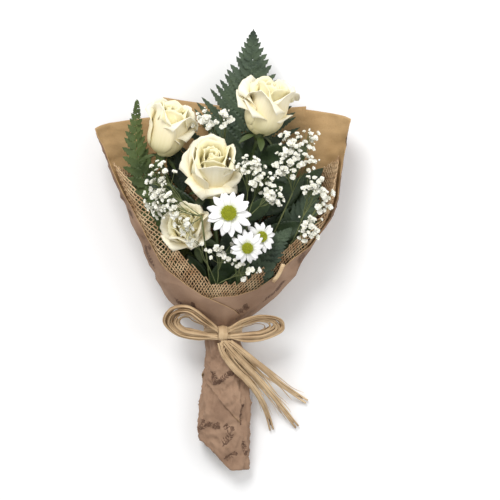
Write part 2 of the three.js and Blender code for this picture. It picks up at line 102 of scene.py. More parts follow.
WRAPPER_SECTIONS = (
    # height along the bunch, middle, half width, half depth, lift of the back, flattening
    (-228, 1, 27, 15, 0, 3),
    (-190, 1, 28, 16.5, 0, 3),
    (-168, 1, 29, 18, 0, 3),
    (-144, 3, 27.5, 18, 0, 3),
    (-110, 5, 22, 17.5, 0.8, 2),
    (-91, 0, 18.5, 16.5, 2.4, 0),
    (-75, 0, 18.5, 16.5, 2.4, 0),
    (-61, -2.5, 41, 28, 0.8, 2),
    (-45, -1, 58, 37, 0, 3),
    (-24, 4, 72, 45, 0, 3),
    (-11, 3.5, 78, 48, 0, 3),
    (11, 7, 90, 53, 0, 3),
    (30, 9, 101, 55.5, 0, 3),
    (48, 9, 108.5, 57, 0, 3),
    (81, 4, 117, 58, 0, 3),
    (131, 0, 131, 59, 0, 3),
    (166, 0, 136, 59, 0, 3),
)
TIE_Y = -83
NECK_Z = 18.9
PAPER = 0.6
LAP_INSET = 2.0

# Upper edge and foot of each lap: angle round the bunch from its back, in degrees and
# positive to the right, and how far along the bunch the edge lies there.
LEFT_LAP_EDGE = (
    (-215, -66), (-200, -60), (-180, -53), (-159, -44), (-125, -19), (-117, 6),
    (-112, 26), (-98, 111), (-91, 122), (-32, 138), (0, 144), (40, 148),
)
LEFT_LAP_FOOT = ((-215, -174), (-132, -134), (-90, -124), (-30, -150), (40, -190))
RIGHT_LAP_EDGE = (
    (-28, 158), (0, 149), (36, 146), (88, 132), (94, 90), (97, 58), (99, 34), (101, 11),
    (123, -13), (145, -38), (165, -45), (185, -46), (205, -52),
)


def between(value, low, high):
    """0 below low, 1 above high, and a smooth step between them."""
    t = min(1.0, max(0.0, (value - low) / (high - low)))
    return t * t * (3 - 2 * t)


def along(points, x):
    """Value at x on straight lines through (x, value) points."""
    if x <= points[0][0]:
        return points[0][1]
    for (x0, v0), (x1, v1) in zip(points, points[1:]):
        if x <= x1:
            return v0 + (v1 - v0) * (x - x0) / (x1 - x0)
    return points[-1][1]


def section_table():
    """The wrapper's cross-section at every millimetre, smoothed along the bunch."""
    first, last = int(WRAPPER_SECTIONS[0][0]), int(WRAPPER_SECTIONS[-1][0])
    columns = [[(row[0], row[k]) for row in WRAPPER_SECTIONS] for k in range(1, 6)]
    rough = [[along(column, y) for column in columns] for y in range(first, last + 1)]
    smooth = []
    for i in range(len(rough)):
        near = rough[max(0, i - 4):i + 5]
        smooth.append([sum(row[k] for row in near) / len(near) for k in range(5)])
    return first, smooth


TABLE_START, SECTION_TABLE = section_table()


def section(y):
    place = min(len(SECTION_TABLE) - 1.001, max(0.0, y - TABLE_START))
    row = int(place)
    part = place - row
    return [a + (b - a) * part for a, b in zip(SECTION_TABLE[row], SECTION_TABLE[row + 1])]


def creases(angle, y):
    """How far the creased paper stands in from a smooth roll, in millimetres."""
    turn = math.radians(angle)
    roll = Vector((27 * math.sin(turn), y, 27 * math.cos(turn)))
    gather = math.exp(-((y - TIE_Y) / 26) ** 2) * (1 - 0.6 * math.exp(-((y - TIE_Y) / 6) ** 2))
    pleats = 0.9 * math.sin(11 * turn + 0.05 * y) + 0.6 * math.sin(19 * turn + 1.4 - 0.04 * y)
    broad = abs(noise.noise(roll / 26 + Vector((3.1, 0, 0)))) - 0.16
    fine = abs(noise.noise(roll / 10 + Vector((0, 7.7, 0)))) - 0.16
    crisp = abs(noise.noise(roll / 4.5 + Vector((0, 0, 5.2)))) - 0.16
    handle = 1 - between(y, -112, -90)
    cone = between(y, -72, -30)
    fan = 0.6 * math.sin(13 * turn + 0.8) * cone * (1 - between(y, -30, 40))
    return (gather * pleats + fan + handle * (6.0 * broad + 4.6 * fine + 2.4 * crisp)
            + cone * (4.6 * broad + 2.2 * fine + 0.5 * crisp))


def wrapper_point(angle, y, inset, crease=True):
    """Point on the wrapper at an angle and a height, set in from its outside."""
    middle, wide, deep, lift, flat = section(y)
    turn = math.radians(angle)
    dent = inset + (creases(angle, y) if crease else 0)
    rise = deep - (deep - dent) * math.cos(turn) - flat
    back = max(inset, 0.12)
    return Vector((middle + (wide - dent) * math.sin(turn), y, lift + max(back, rise)))


def tuck(point, margin=9.0):
    """Moves a point of foliage to the inside of the wrapper where it would stand outside."""
    middle, wide, deep, lift, flat = section(point.y)
    if not -90 < point.y < 150:
        return point
    height = lift + deep - flat
    east, up = (point.x - middle) / (wide - margin), (point.z - height) / (deep - margin)
    beyond = math.hypot(east, up)
    if beyond <= 1:
        return point
    return Vector((middle + (point.x - middle) / beyond, point.y, height + (point.z - height) / beyond))


def bent_grid(bm, columns, rows, place, material=0):
    """A grid of faces moved to place(u, v), with u and v from 0 to 1 kept as its UVs."""
    uv_layer = bm.loops.layers.uv.verify()
    made = bmesh.ops.create_grid(bm, x_segments=columns, y_segments=rows, size=0.5)["verts"]
    for vert in made:
        u, v = vert.co.x + 0.5, vert.co.y + 0.5
        for loop in vert.link_loops:
            loop[uv_layer].uv = (u, v)
            loop.face.material_index = material
            loop.face.smooth = True
        vert.co = place(u, v)
    return made


def finish_piece(name, bm, materials, nodes=(), thickness=0.0, offset=-1.0):
    """Scales a mesh to metres, makes it a piece on the root body and gives it its wall."""
    bmesh.ops.scale(bm, vec=(MM, MM, MM), verts=bm.verts)
    mesh = bpy.data.meshes.new(name)
    bm.to_mesh(mesh)
    bm.free()
    for material in materials:
        mesh.materials.append(material)
    piece = bpy.data.objects.new(name, mesh)
    bpy.context.collection.objects.link(piece)
    if thickness:
        wall = piece.modifiers.new("wall", "SOLIDIFY")
        wall.thickness = thickness * MM
        wall.offset = offset
        wall.material_offset = 1 if len(materials) > 1 else 0
        wall.material_offset_rim = wall.material_offset
    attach(piece, "root")
    if nodes:
        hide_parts(*nodes)
    return piece


def tone(red, green, blue):
    """Linear colour for a screen colour given in steps of 255."""
    return tuple((c / 255) ** 2.2 for c in (red, green, blue)) + (1.0,)


class Finish:
    """A procedural material, built up from a few kinds of node."""

    def __init__(self, name, roughness, **surface):
        self.material = bpy.data.materials.new(name)
        self.material.use_nodes = True
        self.nodes = self.material.node_tree.nodes
        self.links = self.material.node_tree.links
        self.shader = self.nodes["Principled BSDF"]
        self.shader.inputs["Roughness"].default_value = roughness
        for socket, value in surface.items():
            self.shader.inputs[socket.replace("_", " ")].default_value = value
        self.coordinates = self.nodes.new("ShaderNodeTexCoord")

    def pattern(self, scale, detail=3.0, stretch=(1, 1, 1), source="Object", roughness=0.5):
        mapping = self.nodes.new("ShaderNodeMapping")
        mapping.inputs["Scale"].default_value = stretch
        texture = self.nodes.new("ShaderNodeTexNoise")
        texture.inputs["Scale"].default_value = scale
        texture.inputs["Detail"].default_value = detail
        texture.inputs["Roughness"].default_value = roughness
        self.links.new(self.coordinates.outputs[source], mapping.inputs["Vector"])
        self.links.new(mapping.outputs["Vector"], texture.inputs["Vector"])
        return texture.outputs["Fac"]

    def ramp(self, driver, *stops):
        ramp = self.nodes.new("ShaderNodeValToRGB")
        elements = ramp.color_ramp.elements
        while len(elements) < len(stops):
            elements.new(0.5)
        for element, (place, colour) in zip(elements, stops):
            element.position = place
            element.color = colour
        self.links.new(driver, ramp.inputs["Fac"])
        return ramp.outputs["Color"]

    def mix(self, first, second, factor, blend="MIX"):
        mixer = self.nodes.new("ShaderNodeMix")
        mixer.data_type = "RGBA"
        mixer.blend_type = blend
        for value, socket in ((factor, mixer.inputs[0]), (first, mixer.inputs[6]),
                (second, mixer.inputs[7])):
            if isinstance(value, bpy.types.NodeSocket):
                self.links.new(value, socket)
            else:
                socket.default_value = value
        return mixer.outputs[2]

    def across(self, axis):
        """One coordinate of the piece's UV map."""
        split = self.nodes.new("ShaderNodeSeparateXYZ")
        self.links.new(self.coordinates.outputs["UV"], split.inputs["Vector"])
        return split.outputs[axis]

    def colour(self, output):
        self.links.new(output, self.shader.inputs["Base Color"])

    def bump(self, height, distance, strength=1.0):
        bump = self.nodes.new("ShaderNodeBump")
        bump.inputs["Strength"].default_value = strength
        bump.inputs["Distance"].default_value = distance * MM
        self.links.new(height, bump.inputs["Height"])
        self.links.new(bump.outputs["Normal"], self.shader.inputs["Normal"])


def kraft_finish(name, light, dark, fleck):
    finish = Finish(name, 0.82)
    cloud = finish.ramp(finish.pattern(26, 4), (0.3, dark), (0.7, light))
    fibres = finish.ramp(finish.pattern(1300, 3, (1, 0.35, 1)), (0.58, (1, 1, 1, 1)), (0.74, fleck))
    finish.colour(finish.mix(cloud, fibres, 0.55, "MULTIPLY"))
    finish.bump(finish.pattern(110, 7, roughness=0.62), 1.3, 0.7)
    return finish.material


kraft_outside = kraft_finish("kraft_outside", tone(162, 132, 108), tone(128, 100, 80), (0.72, 0.66, 0.6, 1))
kraft_inside = kraft_finish("kraft_inside", tone(192, 159, 114), tone(166, 133, 90), (0.74, 0.66, 0.56, 1))


def paper_lap(name, node, edge, foot, inset, rim_wave, wrap):
    """One lap of paper, from its foot below the handle to its upper edge."""
    columns, rows, handle_rows, neck_rows = 132, 176, 62, 26
    first, last = edge[0][0], edge[-1][0]
    shared = min(-46, min(point[1] for point in edge) - 1)

    def place(u, v):
        angle = first + (last - first) * u
        row = v * rows
        top = along(edge, angle)
        if row <= handle_rows:
            share = max(0, (angle - 90) / (last - 90))
            angle += wrap * share * (1 - (row / handle_rows) ** 3)
            y = foot(angle) + (-98 - foot(angle)) * row / handle_rows
        elif row <= handle_rows + neck_rows:
            y = -98 + (shared + 98) * (row - handle_rows) / neck_rows
        else:
            part = (row - handle_rows - neck_rows) / (rows - handle_rows - neck_rows)
            y = shared + (top - shared) * part
        point = wrapper_point(angle, y, inset)
        flare = between(y, 60, 150)
        wave = noise.noise(Vector((angle / 24, y / 60, inset)))
        point.z = max(point.z, inset) + flare * rim_wave * max(0, wave + 0.25)
        return point

    bm = bmesh.new()
    bent_grid(bm, columns, rows, place)
    lowest = min(bm.faces, key=lambda face: face.calc_center_median().z)
    if lowest.normal.z > 0:
        bmesh.ops.reverse_faces(bm, faces=bm.faces)
    return finish_piece(name, bm, (kraft_outside, kraft_inside), (node,), PAPER)


def right_lap_foot(angle):
    x = 1 + 28 * math.sin(math.radians(angle))
    return -223.6 + max(0, 9 - x) * 0.9


def left_lap_foot(angle):
    return along(LEFT_LAP_FOOT, angle)


left_lap = paper_lap("paper_lap_left", "kraft_sheet_left", LEFT_LAP_EDGE, left_lap_foot, 0.05, 4.0, 0)
right_lap = paper_lap("paper_lap_right", "kraft_sheet_right", RIGHT_LAP_EDGE, right_lap_foot, LAP_INSET,
        4.0, 108)

# ------------------------------------------------------------- print on the paper
# Small generic sprigs of leaves and open blossoms, printed in brown ink on the outside of
# both laps. Each stroke is a hair-thin ribbon that follows the creased paper.

INK_LIFT = -0.22


def print_stroke(bm, lap_inset, centre, scale, turn, points, widths):
    """A tapered ink stroke through flat points, laid on the lap round its centre."""
    angle, height = centre
    reach = section(height)[1]
    cosine, sine = math.cos(turn), math.sin(turn)

    def place(u, v):
        spot = v * (len(points) - 1)
        i = min(len(points) - 2, int(spot))
        a, b = Vector(points[i]), Vector(points[i + 1])
        at = a.lerp(b, spot - i)
        side = (b - a).normalized() * along(widths, v) * (u - 0.5) / scale
        x, y = at.x + side.y, at.y - side.x
        s = (x * cosine - y * sine) * scale
        t = (x * sine + y * cosine) * scale
        return wrapper_point(angle + math.degrees(s / reach), height + t, lap_inset + INK_LIFT)

    bent_grid(bm, 1, 3 * (len(points) - 1), place)


def sprig(bm, lap_inset, centre, size, turn, seed):
    """A stem with paired leaves and a few open blossoms at its tip."""
    rand = random.Random(seed)
    stem = [(0.18 * math.sin(k * 0.55 + seed), k * 0.25 - 1) for k in range(9)]
    print_stroke(bm, lap_inset, centre, size, turn, stem, ((0, 1.0), (1, 0.5)))
    for k in range(1, 6):
        for side in (-1, 1):
            x, y = stem[k]
            reach = 0.34 + 0.16 * rand.random()
            lean = 0.5 + 0.5 * rand.random()
            tip = (x + side * reach, y + reach * lean)
            middle = (x + side * reach * 0.55, y + reach * lean * 0.4)
            leaf = ((0, 0.3), (0.45, 0.19 * size), (0.9, 0.3), (1, 0.1))
            print_stroke(bm, lap_inset, centre, size, turn, [(x, y), middle, tip], leaf)
    for _ in range(3):
        hub = Vector((rand.uniform(-0.55, 0.55), rand.uniform(0.55, 1.25)))
        radius = rand.uniform(0.2, 0.3)
        for k in range(5):
            out = Vector((math.cos(k * 1.257 + seed), math.sin(k * 1.257 + seed))) * radius
            across = Vector((-out.y, out.x)) * 0.42
            loop = [hub + out * 0.2, hub + out * 0.7 + across, hub + out * 1.05, hub + out * 0.7 - across,
                    hub + out * 0.2]
            print_stroke(bm, lap_inset, centre, size, turn, loop, ((0, 0.5), (0.5, 0.8), (1, 0.5)))
        print_stroke(bm, lap_inset, centre, size, turn, [stem[-1], hub], ((0, 0.5), (1, 0.5)))


SPRIGS = (
    # lap inset, (angle, height), size, turn, seed
    (0.05, (-176, -128), 8, 0.5, 1), (0.05, (-150, -128), 8, 2.2, 2),
    (0.05, (-140, -58), 7, 1.2, 3), (0.05, (-128, -54), 9, 2.6, 4), (0.05, (-106, -6), 12, 0.4, 5),
    (0.05, (-100, 48), 13, 2.9, 6), (0.05, (-84, -30), 11, 1.8, 7), (0.05, (-60, 30), 13, 0.9, 8),
    (0.05, (-30, -20), 11, 2.2, 9), (0.05, (-35, 84), 13, 0.2, 10), (0.05, (15, 40), 13, 1.5, 11),
    (0.05, (5, 110), 13, 2.4, 12), (0.05, (-5, -120), 8, 0.8, 13), (0.05, (25, -60), 8, 2.0, 14),
    (2.0, (172, -189), 11, 0.35, 21), (2.0, (208, -176), 7, 2.0, 22), (2.0, (166, -209), 7, 1.4, 23),
    (2.0, (140, -168), 9, 0.1, 24), (2.0, (128, -200), 8, 2.6, 25), (2.0, (238, -180), 8, 0.9, 26),
    (2.0, (150, -60), 7, 1.1, 27), (2.0, (118, -42), 10, 0.3, 28), (2.0, (104, -6), 11, 2.1, 29),
    (2.0, (92, 44), 12, 0.8, 30), (2.0, (66, 6), 12, 1.9, 31), (2.0, (80, 96), 12, 2.8, 32),
    (2.0, (55, 70), 13, 0.5, 33), (2.0, (60, -150), 9, 1.2, 34), (2.0, (20, -200), 8, 2.4, 35),
)
ink = Finish("brown_ink", 0.75)
ink.colour(ink.ramp(ink.pattern(300, 3), (0.35, tone(84, 60, 46)), (0.7, tone(118, 90, 70))))
for name, lap_inset in (("print_left", 0.05), ("print_right", 2.0)):
    print_bm = bmesh.new()
    for row in SPRIGS:
        if row[0] == lap_inset:
            sprig(print_bm, *row)
    finish_piece(name, print_bm, (ink.material,))

# ------------------------------------------------------------- jute mesh lining
# An open plain weave of flat jute yarns, cut on the bias with pinking shears. It lines the
# paper cone and stands out past the paper's edge in front.

JUTE_INSET = 7.0
JUTE_PITCH = 3.5
JUTE_FOOT_Y = -68
JUTE_REACH = 84
JUTE_EDGE = (
    (-165, -32), (-151, -17), (-121, 16), (-108, 71), (-98, 88), (-88, 90), (0, 60),
    (86, 98), (99, 66), (108, 24), (127, 2), (147, -20), (165, -30),
)


def sweep(bm, path, wide, thick, flat_to=None, sides=6, material=0, cap=True):
    """A closed rod along a path, with half widths given as numbers or functions of 0..1."""
    count = len(path)
    rows = count + 1 if cap else count - 1
    ahead = [(path[min(i + 1, count - 1)] - path[max(i - 1, 0)]).normalized() for i in range(count)]
    first = flat_to or Vector((0.31, 0.2, 0.93))
    across = first.cross(ahead[0])
    if across.length < 1e-4:
        across = ahead[0].orthogonal()
    frames = []
    for i in range(count):
        across = across - ahead[i] * across.dot(ahead[i])
        across.normalize()
        frames.append((across.copy(), ahead[i].cross(across)))

    def place(u, v):
        row = round(v * rows)
        i = min(count - 1, max(0, row - 1)) if cap else row
        share = i / (count - 1)
        size = 0.02 if cap and row in (0, rows) else 1.0
        w = (wide(share) if callable(wide) else wide) * size
        t = (thick(share) if callable(thick) else thick) * size
        turn = 2 * math.pi * u
        return path[i] + frames[i][0] * w * math.cos(turn) + frames[i][1] * t * math.sin(turn)

    made = bent_grid(bm, sides, rows, place, material)
    bmesh.ops.remove_doubles(bm, verts=made, dist=1e-4)


def jute_point(s, y, inset):
    return wrapper_point(math.degrees(s / JUTE_REACH), y, inset, crease=False)


def in_jute(s, y):
    angle = math.degrees(s / JUTE_REACH)
    tooth = 3.2 * abs((s / 7.5) % 1 - 0.5) * 2
    return -178 <= angle <= 184 and JUTE_FOOT_Y <= y <= along(JUTE_EDGE, angle) + tooth - 2


jute_bm = bmesh.new()
rand = random.Random(4)
half_pitch = JUTE_PITCH / math.sqrt(2)
span = int(170 / half_pitch / 2) + 60
for direction in (0, 1):
    for i in range(-span, span + 1):
        run, wobble = [], rand.uniform(-0.35, 0.35)
        for j in range(-span, span + 2):
            a, b = (i, j) if direction == 0 else (j, i)
            s = (a + b) * half_pitch + wobble
            y = (a - b) * half_pitch + 14 + wobble * (1 - 2 * direction)
            if in_jute(s, y) and j <= span:
                over = 0.42 if (i + j + direction) % 2 else -0.42
                fray = 0.5 * noise.noise(Vector((s / 9, y / 9, direction)))
                angle = math.degrees(s / JUTE_REACH)
                lean = between(abs(angle), 92, 118) * between(y, along(JUTE_EDGE, angle) - 42,
                        along(JUTE_EDGE, angle))
                run.append(jute_point(s + fray, y + fray, JUTE_INSET - 0.6 + over + 9 * lean))
                continue
            if len(run) > 2:
                half = 0.5 + 0.16 * rand.random()
                sweep(jute_bm, run, half, 0.24, Vector((0, 0, 1)), sides=4, cap=False)
            run = []
loose_end = [wrapper_point(133 + 0.25 * k, -13 - 3 * k, -1.0 + 0.2 * k, crease=False) for k in range(7)]
sweep(jute_bm, loose_end, 2.1, 0.3, Vector((0.3, 0.2, 1)), sides=6)
jute = Finish("jute_yarn", 0.88)
jute_tint = jute.ramp(jute.pattern(70, 4), (0.3, tone(176, 138, 100)), (0.7, tone(230, 204, 164)))
jute_fibre = jute.ramp(jute.pattern(1500, 2), (0.3, (0.62, 0.5, 0.4, 1)), (0.6, (1, 1, 1, 1)))
jute.colour(jute.mix(jute_tint, jute_fibre, 0.7, "MULTIPLY"))
jute.bump(jute.pattern(900, 4), 0.25)
jute_piece = finish_piece("jute_lining", jute_bm, (jute.material,), ("jute_mesh",))

# ------------------------------------------------------------- stems and their twine
# Green stems cut level at the foot. They pass through the tied neck in two rings and then
# spread to their flowers. A loop of green twine under the raffia holds them together.

NECK_RINGS = {1: (5.8, 5.2), 2: (10.6, 8.8)}


def curve_through(points, count):
    """Evenly numbered points on a smooth curve through the given ones."""
    points = [Vector(p) for p in points]
    ends = [points[0] * 2 - points[1]] + points + [points[-1] * 2 - points[-2]]
    out = []
    for k in range(count + 1):
        spot = k / count * (len(points) - 1)
        i = min(len(points) - 2, int(spot))
        t = spot - i
        a, b, c, d = ends[i:i + 4]
        out.append((b * 2 + (c - a) * t + (a * 2 - b * 5 + c * 4 - d) * t * t
                    + (b * 3 - a - c * 3 + d) * t ** 3) / 2)
    return out


def stem_route(slot, *upper):
    """A stem's way from its cut foot, through its place in the neck, to its flower."""
    ring, angle = slot
    wide, deep = NECK_RINGS[ring]
    x, z = wide * math.cos(math.radians(angle)), deep * math.sin(math.radians(angle))
    cut = (2 + 1.5 * x, -184 + 3 * math.sin(x), 16.4 + 0.9 * z)
    return [cut, (x, -97, NECK_Z + z), (x, -76, NECK_Z + z), *upper]


def plant_finish(name, dark, light, roughness=0.55, scale=60):
    finish = Finish(name, roughness)
    finish.colour(finish.ramp(finish.pattern(scale, 3), (0.3, dark), (0.7, light)))
    finish.bump(finish.pattern(700, 3), 0.06, 0.6)
    return finish


stem_green = plant_finish("stem_green", tone(52, 66, 36), tone(86, 100, 58), 0.5)
tie_bm = bmesh.new()
for turn in range(3):
    ring = []
    for k in range(49):
        angle = 2 * math.pi * k / 48
        ring.append(Vector((13.4 * math.cos(angle), -90.2 + turn * 1.1, NECK_Z + 11.4 * math.sin(angle))))
    sweep(tie_bm, ring, 0.62, 0.62, Vector((0, 1, 0)), cap=False)
twine = plant_finish("tie_twine", tone(88, 104, 60), tone(124, 138, 86), 0.8, 300)
finish_piece("stem_twine", tie_bm, (twine.material,), ("stem_tie",))

# ------------------------------------------------------------- cream roses
# Four half-open roses. Each is built from the middle out: a tight roll, then rings of
# cupped petals whose rims curl back, more so further out, over a green cup with sepals.

rose_petal = Finish("rose_petal", 0.62)
petal_tint = rose_petal.ramp(rose_petal.across(1), (0.0, tone(188, 194, 122)), (0.22, tone(224, 216, 166)),
                             (0.6, tone(240, 228, 190)), (1.0, tone(246, 240, 218)))
petal_veins = rose_petal.pattern(26, 2, (1, 0.06, 1), "UV")
vein_tint = rose_petal.ramp(petal_veins, (0.35, (0.965, 0.955, 0.91, 1)), (0.6, (1, 1, 1, 1)))
rose_petal.colour(rose_petal.mix(petal_tint, vein_tint, 1.0, "MULTIPLY"))
rose_petal.bump(petal_veins, 0.25, 0.5)
rose_heart = Finish("rose_heart", 0.62)
heart_tint = rose_heart.ramp(rose_heart.across(1), (0.0, tone(200, 196, 110)), (0.55, tone(232, 220, 160)),
                             (1.0, tone(245, 238, 202)))
rose_heart.colour(heart_tint)
rose_heart.bump(rose_heart.pattern(26, 2, (1, 0.06, 1), "UV"), 0.25, 0.5)
sepal_green = plant_finish("sepal_green", tone(86, 104, 58), tone(130, 146, 90), 0.6)


def seat_of(base, axis):
    """A flower's seat: its base, its axis and the two directions round it."""
    axis = Vector(axis).normalized()
    front = (Vector((0, 0, 1)) - axis * axis.z).normalized()
    return Vector(base), axis, front, axis.cross(front)


def petal(bm, seat, azimuth, radius, length, half_width, lean, roll, seed, low=0.0, point=1.5,
          columns=14, rows=18):
    """One cupped petal: it leaves the cup outwards, rises, leans in and rolls its rim back."""
    base, axis, front, right = seat
    tracks = []
    for column in range(columns + 1):
        side = abs(2 * column / columns - 1)
        reach = length * (1 - 0.17 * side ** 3.2) + point * max(0, 1 - 3 * side)
        share = min(0.5, 1.25 * radius / reach)
        r, h = 1.5, low
        track = [(r, h)]
        for row in range(rows):
            t = (row + 0.5) / rows
            tilt = (12 + 76 * between(t, 0, share) + lean * between(t, share, 0.82)
                    - roll * (0.55 + 0.45 * side ** 1.5) * between(t, 0.76 - 0.12 * side, 1.04))
            r += reach / rows * math.cos(math.radians(tilt))
            h += reach / rows * math.sin(math.radians(tilt))
            track.append((r, h))
        tracks.append(track)
    rand = random.Random(seed)
    swirl = rand.uniform(1.4, 2.4)
    shift = Vector((seed * 1.7, seed * 0.9, 0))

    def place(u, v):
        side = 2 * u - 1
        r, h = tracks[round(u * columns)][round(v * rows)]
        widen = (0.42 + 0.58 * between(v, 0, 0.45)) * (1 - 0.22 * between(v, 0.75, 1) * abs(side))
        turn = math.radians(azimuth) + side * half_width * widen / max(r, 0.72 * radius)
        wave = noise.noise(Vector((side * 1.9, v * 1.6, 0)) + shift)
        frill = noise.noise(Vector((side * 5.5, v * 2, 4)) + shift) * between(v, 0.72, 1)
        r += swirl * side * between(v, 0.1, 0.5) + 1.5 * side ** 6 * between(v, 0.25, 0.8)
        r += 1.5 * wave * v + 0.9 * frill
        h += 1.3 * frill + 0.8 * wave * v
        return base + axis * h + (front * math.cos(turn) + right * math.sin(turn)) * max(r, 0.4)

    bent_grid(bm, columns, rows, place)


def rolled_heart(bm, seat, height, seed):
    """The tight roll of small petals in the middle of a bloom."""
    base, axis, front, right = seat
    columns, rows = 64, 14

    def place(u, v):
        turn = 2 * math.pi * 2.3 * u + seed
        spread = 1.2 + 7.6 * u
        bulge = 0.55 + 0.45 * math.sin(math.pi * min(1, 0.25 + 0.75 * v))
        lip = 1.6 * between(v, 0.86, 1) * u
        r = spread * bulge * (1 - 0.28 * between(v, 0.6, 0.95)) + lip
        top = height - 5.5 * (1 - u) + 1.3 * math.sin(turn * 1.31)
        return base + axis * (8 + (top - 8) * v) + (front * math.cos(turn) + right * math.sin(turn)) * r

    bent_grid(bm, columns, rows, place)


def blade(bm, foot, tip, up, width, teeth=0, tooth=0.12, fold=0.15, droop=0.1, columns=4, rows=20,
          belly=0.42, material=0):
    """A leaf blade from foot to tip: pointed, folded along its midrib and toothed."""
    foot, tip = Vector(foot), Vector(tip)
    ahead = tip - foot
    length = ahead.length
    ahead.normalize()
    up = (Vector(up) - ahead * ahead.dot(Vector(up))).normalized()
    across = ahead.cross(up)

    def place(u, v):
        side = 2 * u - 1
        full = math.sin(math.pi * min(1, v) ** (math.log(0.5) / math.log(belly))) ** 0.85 if 0 < v < 1 else 0
        saw = 1.0
        if teeth:
            saw = 1 - tooth * ((v * teeth) % 1.0) * between(v, 0.04, 0.12)
        half = width / 2 * full * (saw if abs(side) > 0.99 else 1) + 0.12
        lift = fold * half * abs(side) - droop * length * (v ** 2)
        return tuck(foot + ahead * (v * length) + across * side * half + up * lift)

    bent_grid(bm, columns, rows, place, material)


ROSE_SIZES = {"upper_left": 1.1, "upper_right": 1.16, "centre": 1.2, "lower_left": 1.04}
ROSES = (
    # name, base, axis, place in the neck, bend of the stem, height of the heart
    ("upper_left", (-61, 98, 50), (0.26, 0.9, 0.32), (1, 198), (-44, 44, 28), 44),
    ("upper_right", (37, 119, 52), (0.28, 0.88, 0.36), (1, 342), (27, 76, 36), 44),
    ("centre", (-14, 60, 50), (0.1, 0.66, 0.75), (1, 54), (-10, 40, 42), 45),
    ("lower_left", (-28, 11, 48), (-0.26, 0.5, 0.83), (1, 126), (-26, -20, 34), 40),
)
RINGS = (
    # petals, first azimuth, radius, length, half width, lean, roll
    (3, 20, 10.0, 50, 15.0, 24, 20),
    (3, 75, 13.0, 52, 17.5, 20, 45),
    (4, 10, 16.0, 54, 18.0, 16, 70),
)
OUTER_PETALS = {
    # azimuth, radius, length, half width, lean, roll
    "upper_left": ((-48, 19.5, 55, 20, 8, 60), (52, 20, 52, 20, 6, 120), (140, 20, 54, 20, 6, 90),
                   (232, 20, 55, 20, 8, 70)),
    "upper_right": ((-20, 21, 52, 22, 2, 130), (66, 21, 54, 20, 8, 70), (150, 21, 55, 20, 8, 80),
                    (250, 21, 54, 22, -6, 100)),
    "centre": ((-74, 20, 57, 20, 6, 40), (14, 21, 55, 23, 10, 50), (104, 20, 56, 21, 8, 60),
               (194, 20, 56, 21, 8, 80)),
    "lower_left": ((-40, 18, 46, 18, -6, 90), (50, 18, 46, 18, -4, 80), (140, 18, 48, 18, 2, 80),
                   (230, 18, 46, 18, -6, 100)),
}
GUARD_PETALS = {
    "upper_left": ((95, 21, 44, 17, -22, 110), (5, 20, 30, 15, -20, 60), (190, 21, 46, 18, -12, 80)),
    "upper_right": ((-88, 20, 46, 17, -46, 60), (-52, 20, 42, 16, -40, 70), (84, 20, 36, 14, -46, 40),
                    (180, 21, 46, 18, -16, 80)),
    "centre": ((28, 22, 42, 18, -48, 110), (-40, 21, 40, 15, -44, 120), (84, 22, 44, 18, -34, 90),
               (170, 22, 46, 18, -18, 80), (-120, 22, 46, 18, -18, 80)),
    "lower_left": ((-95, 18, 42, 18, -46, 60), (15, 18, 36, 16, -50, 70), (180, 18, 44, 17, -22, 80),
                   (95, 18, 38, 16, -44, 60)),
}


def grow(bm, seat, size):
    bmesh.ops.scale(bm, vec=(size, size, size), space=Matrix.Translation(-seat[0]), verts=bm.verts)


rand = random.Random(11)
rose_stems = {}
for number, (name, base, axis, slot, elbow, height) in enumerate(ROSES):
    seat = seat_of(base, axis)
    heart_bm = bmesh.new()
    rolled_heart(heart_bm, seat, height, number)
    for count, first, radius, length, half, lean, roll in RINGS:
        for k in range(count):
            shrink = height / 45
            petal(heart_bm, seat, first + number * 40 + 360 * k / count + rand.uniform(-8, 8), radius,
                  length * shrink * rand.uniform(0.97, 1.03), half, lean + rand.uniform(-3, 3),
                  roll * rand.uniform(0.8, 1.2), 10 * number + k + radius)
    grow(heart_bm, seat, ROSE_SIZES[name])
    finish_piece(f"bloom_{name}_middle", heart_bm, (rose_heart.material,),
                 (f"rose_{name}_heart",), 0.5, 0)
    for k, row in enumerate(OUTER_PETALS[name]):
        petal_bm = bmesh.new()
        petal(petal_bm, seat, *row, 50 + 10 * number + k, columns=20, rows=24)
        grow(petal_bm, seat, ROSE_SIZES[name])
        finish_piece(f"bloom_{name}_petal_{k + 1}", petal_bm, (rose_petal.material,),
                     (f"rose_{name}_petal_{k + 1}",), 0.6, 0)
    guard_bm = bmesh.new()
    for k, row in enumerate(GUARD_PETALS[name]):
        petal(guard_bm, seat, *row, 150 + 10 * number + k, low=-2.0, columns=18, rows=22)
    grow(guard_bm, seat, ROSE_SIZES[name])
    finish_piece(f"bloom_{name}_guard", guard_bm, (rose_petal.material,), (), 0.6, 0)

    stem_bm = bmesh.new()
    cup_foot = seat[0] - seat[1] * 8.5
    route = curve_through(stem_route(slot, Vector(elbow), cup_foot), 60)
    rose_stems[name] = route
    sweep(stem_bm, route, 2.2, 2.2, sides=10)
    cup = [seat[0] + seat[1] * h for h in (-9, -7.5, -5.5, -3, -0.5, 1.5)]
    sweep(stem_bm, cup, lambda t: along(((0, 2.4), (0.3, 4.6), (0.6, 6.2), (1, 5)), t),
          lambda t: along(((0, 2.4), (0.3, 4.6), (0.6, 6.2), (1, 5)), t), sides=14)
    for k in range(5):
        turn = math.radians(72 * k + 20 * number)
        out = seat[2] * math.cos(turn) + seat[3] * math.sin(turn)
        start = seat[0] - seat[1] * 3 + out * 5.5
        blade(stem_bm, start, start + out * 17 - seat[1] * (6 + 4 * math.sin(k * 2.3)), seat[1], 8,
                fold=0.3,
              droop=0.2, rows=10)
    finish_piece(f"bloom_{name}_stem", stem_bm, (stem_green.material,),
            (f"rose_{name}_stem",))

